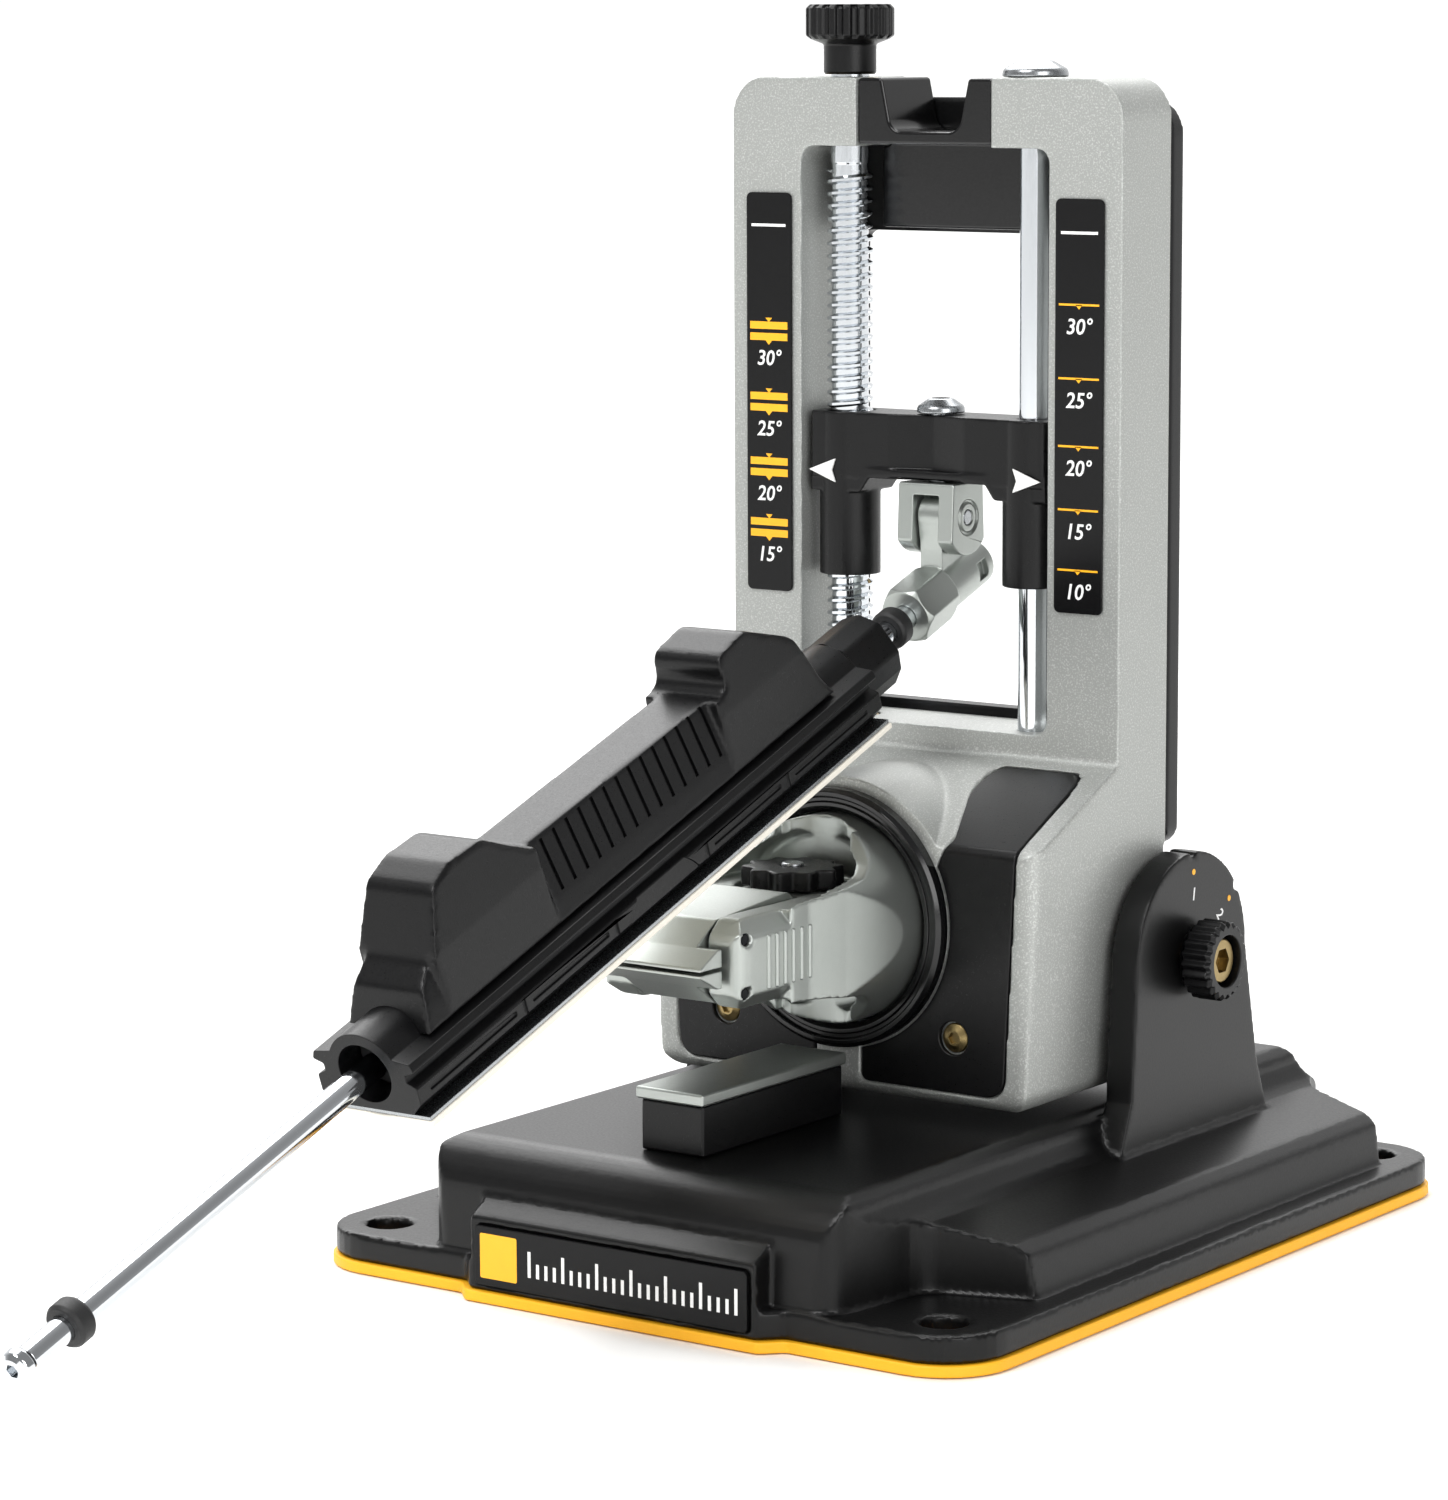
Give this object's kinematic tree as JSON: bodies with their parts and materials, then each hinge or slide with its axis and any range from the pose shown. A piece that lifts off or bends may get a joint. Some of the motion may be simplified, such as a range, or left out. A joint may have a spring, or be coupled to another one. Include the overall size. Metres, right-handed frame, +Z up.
{
  "type": "guided rod knife sharpener",
  "caption": "Bench knife sharpener: tilting tower with a screw-driven crosshead, a swivelling guide rod with a sliding stone holder, and a rotating two-jaw blade clamp.",
  "frame": {"origin": "centre of the base's flat underside, in the middle of its width and of its length without the front badge boss", "axes": "+Z up the tower, -Y towards the guide rod's free end, +X towards the lock knob"},
  "size_m": [0.155, 0.3485, 0.2446],
  "materials": {
    "amber_rubber": "moulded non-slip rubber mat, satin",
    "black_casting": "satin black fine-texture powder coat on a casting",
    "black_plastic": "injection-moulded glass-filled nylon, satin",
    "label_film": "printed polycarbonate label, semi-gloss",
    "silver_paint": "speckled silver paint on a die casting",
    "die_cast": "satin nickel-plated die casting",
    "polished_chrome": "polished",
    "bright_steel": "zinc-plated steel",
    "bronze": "oiled bronze",
    "black_rubber": "nitrile rubber, matt",
    "fine_ceramic": "fine cream ceramic, matt",
    "white_plastic": "white moulded insert"
  },
  "bodies": {
    "base": {"base_pad": "amber_rubber", "base_casting": "black_casting", "badge_plate": "label_film", "table_block": "black_plastic", "table_rest": "die_cast", "ear_bush_right": "bronze", "ear_bush_left": "bronze", "pivot_bolt_right": "bronze", "pivot_bolt_left": "bright_steel"},
    "lock_knob": {"lock_knob": "black_plastic"},
    "tower": {"tower_frame": "silver_paint", "back_cover": "black_plastic", "rod_cradle": "black_plastic", "trim_right": "black_plastic", "trim_left": "black_plastic", "trim_screw_right": "bronze", "trim_screw_left": "bronze", "scale_right": "label_film", "scale_left": "label_film", "back_screw_right": "bright_steel", "back_screw_left": "bright_steel", "guide_rod": "polished_chrome", "guide_rod_screw": "bright_steel", "drum_ring": "black_plastic", "drum_bush": "bronze", "screw_bush_top": "bronze", "screw_bush_bottom": "bronze"},
    "height_screw": {"lead_screw": "polished_chrome", "height_knob": "black_plastic"},
    "crosshead": {"crosshead": "black_plastic", "lead_nut": "bronze", "slide_bush": "bronze", "pointer_right": "white_plastic", "pointer_left": "white_plastic"},
    "swivel": {"clevis": "die_cast", "swivel_screw": "bright_steel", "hinge_pin": "bright_steel"},
    "arm": {"knuckle": "die_cast", "guide_arm": "polished_chrome", "o_ring_upper": "black_rubber", "o_ring_lower": "black_rubber", "end_screw": "polished_chrome"},
    "slider": {"rod_bush_rear": "black_rubber", "rod_bush_front": "black_rubber"},
    "holder": {"holder_body": "black_plastic", "holder_grip": "black_plastic", "backing_plate": "bright_steel", "ceramic_plate": "fine_ceramic", "magnet_rear": "bright_steel", "magnet_front": "bright_steel"},
    "clamp": {"clamp_body": "die_cast", "drum_washer": "bright_steel", "drum_screw": "bright_steel", "jaw_pin_upper": "bright_steel", "jaw_pin_lower": "bright_steel"},
    "upper_jaw": {"upper_jaw": "die_cast"},
    "lower_jaw": {"lower_jaw": "die_cast"},
    "thumbwheel": {"thumbwheel": "black_plastic", "clamp_screw": "bright_steel"}
  },
  "joints": [
    {"name": "knob_turn", "type": "hinge", "parent": "base", "child": "lock_knob", "pos_m": [0, 0.0264, 0.0566], "axis": [1, 0, 0], "range_deg": [0, 360]},
    {"name": "tower_lean", "type": "hinge", "parent": "base", "child": "tower", "pos_m": [0, 0.0264, 0.0566], "axis": [-1, 0, 0], "range_deg": [0, 55]},
    {"name": "screw_turn", "type": "hinge", "parent": "tower", "child": "height_screw", "pos_m": [-0.022, 0.0163, 0.2], "axis": [0, 0, -1], "range_deg": [0, 4897]},
    {"name": "crosshead_slide", "type": "slide", "parent": "tower", "child": "crosshead", "axis": [0, 0, 1], "range_m": [0, 0.034]},
    {"name": "arm_swivel", "type": "hinge", "parent": "crosshead", "child": "swivel", "pos_m": [0, 0.0163, 0.1427], "axis": [0, 0, 1], "range_deg": [-40, 40]},
    {"name": "arm_lift", "type": "hinge", "parent": "swivel", "child": "arm", "pos_m": [0, 0.0163, 0.1427], "axis": [-1, 0, 0], "range_deg": [0, 45]},
    {"name": "holder_slide", "type": "slide", "parent": "arm", "child": "slider", "axis": [0, -0.9375, -0.3479], "range_m": [-0.007, 0.075]},
    {"name": "holder_roll", "type": "hinge", "parent": "slider", "child": "holder", "pos_m": [0, 0.02103, 0.12995], "axis": [0, -0.9375, -0.3479], "range_deg": [-90, 90]},
    {"name": "clamp_turn", "type": "hinge", "parent": "tower", "child": "clamp", "pos_m": [0, 0, 0.0665], "axis": [0, 1, 0], "range_deg": [0, 180]},
    {"name": "wheel_turn", "type": "hinge", "parent": "clamp", "child": "thumbwheel", "pos_m": [0, -0.036, 0.0665], "axis": [0, 0, 1], "range_deg": [0, 1080]},
    {"name": "upper_jaw_open", "type": "hinge", "parent": "clamp", "child": "upper_jaw", "pos_m": [0, -0.074, 0.0716], "axis": [-1, 0, 0], "range_deg": [0, 7.1]},
    {"name": "lower_jaw_open", "type": "hinge", "parent": "clamp", "child": "lower_jaw", "pos_m": [0, -0.074, 0.0614], "axis": [1, 0, 0], "range_deg": [0, 7.1]}
  ],
  "couplings": [
    {"joint": "screw_turn", "follows": "crosshead_slide", "rad_per_m": 2513.3},
    {"joint": "upper_jaw_open", "follows": "wheel_turn", "ratio": 0.0064815},
    {"joint": "lower_jaw_open", "follows": "wheel_turn", "ratio": 0.0064815}
  ]
}
